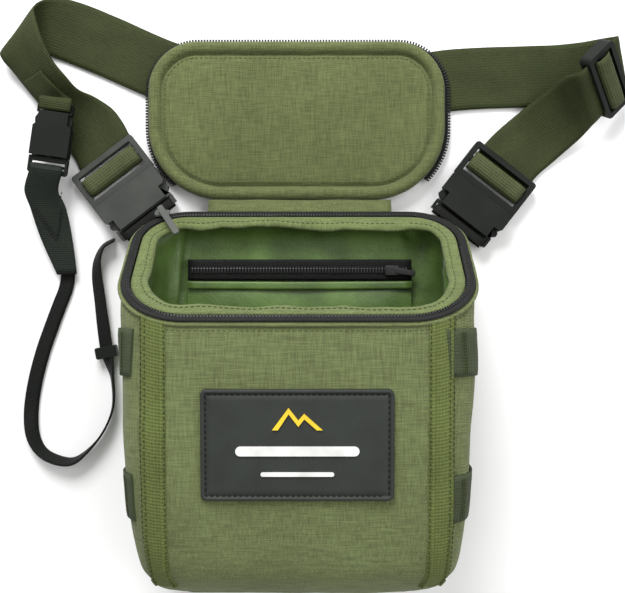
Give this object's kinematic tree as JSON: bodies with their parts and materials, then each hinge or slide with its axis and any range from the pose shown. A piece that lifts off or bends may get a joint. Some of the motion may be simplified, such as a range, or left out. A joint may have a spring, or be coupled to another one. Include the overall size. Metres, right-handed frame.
{
  "type": "binocular harness pack",
  "caption": "Padded chest pack for binoculars, unzipped with its lid laid open, a front patch, side loops, a webbing harness with release buckles and a tether.",
  "frame": {"origin": "centre of the back panel's rest face", "axes": "+Z from the back panel towards the front patch; +Y from the bag's bottom towards its lid and harness; +X to the right seen from the front"},
  "size_m": [0.3873, 0.3506, 0.1013],
  "materials": {
    "shell_fabric": "heathered olive twill",
    "lid_fabric": "olive twill",
    "lining_satin": "green satin",
    "padding_foam": "closed-cell foam",
    "green_webbing": "ribbed olive webbing",
    "black_webbing": "black webbing and tape",
    "moulded_plastic": "moulded, satin",
    "patch_rubber": "moulded, matte",
    "grey_pull": "grey, satin"
  },
  "bodies": {
    "bag": {"back_panel": "shell_fabric", "outer_shell": "shell_fabric", "foam_left": "padding_foam", "foam_right": "padding_foam", "foam_back": "padding_foam", "foam_front": "padding_foam", "lining": "lining_satin", "mouth_facing": "lid_fabric", "mouth_zipper_tape": "black_webbing", "mouth_zipper_teeth": "moulded_plastic", "inner_pocket": "lining_satin", "inner_pocket_zipper": "black_webbing", "front_patch": "patch_rubber", "left_front_tape": "green_webbing", "right_front_tape": "green_webbing", "left_loop_upper": "green_webbing", "left_loop_lower": "green_webbing", "right_loop_upper": "green_webbing", "right_loop_lower": "green_webbing", "hinge_gusset": "lid_fabric", "harness_strap_back": "green_webbing", "left_buckle_female": "moulded_plastic", "right_buckle_female": "moulded_plastic", "left_anchor_webbing": "black_webbing", "right_anchor_webbing": "black_webbing", "tether": "black_webbing"},
    "lid": {"lid_outer": "shell_fabric", "lid_foam": "padding_foam", "lid_lining": "lid_fabric", "lid_edge_roll": "lid_fabric", "lid_zipper_tape": "black_webbing", "lid_zipper_teeth": "moulded_plastic"},
    "zip_slider": {"zip_slider": "grey_pull"},
    "zip_pull": {"zip_pull": "grey_pull"},
    "left_strap": {"left_buckle_male": "moulded_plastic", "left_strap_wrap": "green_webbing", "harness_strap_left": "green_webbing", "sewn_strap": "green_webbing", "small_buckle_female": "moulded_plastic"},
    "right_strap": {"right_buckle_male": "moulded_plastic", "right_strap_wrap": "green_webbing", "harness_strap_right": "green_webbing"},
    "left_arm_a": {"left_release_arm_a": "moulded_plastic"},
    "left_arm_b": {"left_release_arm_b": "moulded_plastic"},
    "right_arm_a": {"right_release_arm_a": "moulded_plastic"},
    "right_arm_b": {"right_release_arm_b": "moulded_plastic"},
    "small_male": {"small_buckle_male": "moulded_plastic", "leader_webbing": "black_webbing"},
    "small_arm_a": {"small_release_arm_a": "moulded_plastic"},
    "small_arm_b": {"small_release_arm_b": "moulded_plastic"},
    "tri_glide": {"tri_glide": "moulded_plastic"},
    "tether_lock": {"tether_lock": "moulded_plastic"}
  },
  "joints": [
    {"name": "lid_hinge", "type": "hinge", "parent": "bag", "child": "lid", "pos_m": [0, 0.1125, 0.013], "axis": [1, 0, 0], "range_deg": [0, 110]},
    {"name": "zip_slider_travel", "type": "slide", "parent": "bag", "child": "zip_slider", "axis": [1, 0, 0], "range_m": [0, 0.006]},
    {"name": "zip_pull_swing", "type": "hinge", "parent": "zip_slider", "child": "zip_pull", "pos_m": [-0.0835, 0.11088, 0.02375], "axis": [-0.8025, -0.5967, 0], "range_deg": [0, 120]},
    {"name": "left_buckle_release", "type": "slide", "parent": "bag", "child": "left_strap", "axis": [-0.606, 0.7955, 0], "range_m": [0, 0.026]},
    {"name": "right_buckle_release", "type": "slide", "parent": "bag", "child": "right_strap", "axis": [0.6129, 0.7902, 0], "range_m": [0, 0.026]},
    {"name": "left_arm_a_squeeze", "type": "hinge", "parent": "left_strap", "child": "left_arm_a", "pos_m": [-0.12058, 0.11452, 0.0061], "axis": [0, 0, 1], "range_deg": [0, 8], "stiffness_Nm_per_rad": 0.5},
    {"name": "left_arm_b_squeeze", "type": "hinge", "parent": "left_strap", "child": "left_arm_b", "pos_m": [-0.09528, 0.13379, 0.0061], "axis": [0, 0, -1], "range_deg": [0, 8], "stiffness_Nm_per_rad": 0.5},
    {"name": "right_arm_a_squeeze", "type": "hinge", "parent": "right_strap", "child": "right_arm_a", "pos_m": [0.10019, 0.12993, 0.0061], "axis": [0, 0, 1], "range_deg": [0, 8], "stiffness_Nm_per_rad": 0.5},
    {"name": "right_arm_b_squeeze", "type": "hinge", "parent": "right_strap", "child": "right_arm_b", "pos_m": [0.12532, 0.11044, 0.0061], "axis": [0, 0, -1], "range_deg": [0, 8], "stiffness_Nm_per_rad": 0.5},
    {"name": "small_buckle_release", "type": "slide", "parent": "left_strap", "child": "small_male", "axis": [-0.14, -0.9901, 0], "range_m": [0, 0.026]},
    {"name": "small_arm_a_squeeze", "type": "hinge", "parent": "small_male", "child": "small_arm_a", "pos_m": [-0.1436, 0.14209, 0.015], "axis": [0, 0, 1], "range_deg": [0, 4], "stiffness_Nm_per_rad": 0.5},
    {"name": "small_arm_b_squeeze", "type": "hinge", "parent": "small_male", "child": "small_arm_b", "pos_m": [-0.16082, 0.14453, 0.015], "axis": [0, 0, -1], "range_deg": [0, 4], "stiffness_Nm_per_rad": 0.5},
    {"name": "tri_glide_travel", "type": "slide", "parent": "right_strap", "child": "tri_glide", "axis": [-0.7001, -0.7001, 0.14], "range_m": [0, 0.004]},
    {"name": "tether_lock_travel", "type": "slide", "parent": "bag", "child": "tether_lock", "axis": [-0.19, 0.9818, 0], "range_m": [-0.004, 0.004]}
  ],
  "couplings": [
    {"joint": "left_arm_b_squeeze", "follows": "left_arm_a_squeeze", "ratio": 1},
    {"joint": "right_arm_b_squeeze", "follows": "right_arm_a_squeeze", "ratio": 1},
    {"joint": "small_arm_b_squeeze", "follows": "small_arm_a_squeeze", "ratio": 1}
  ]
}
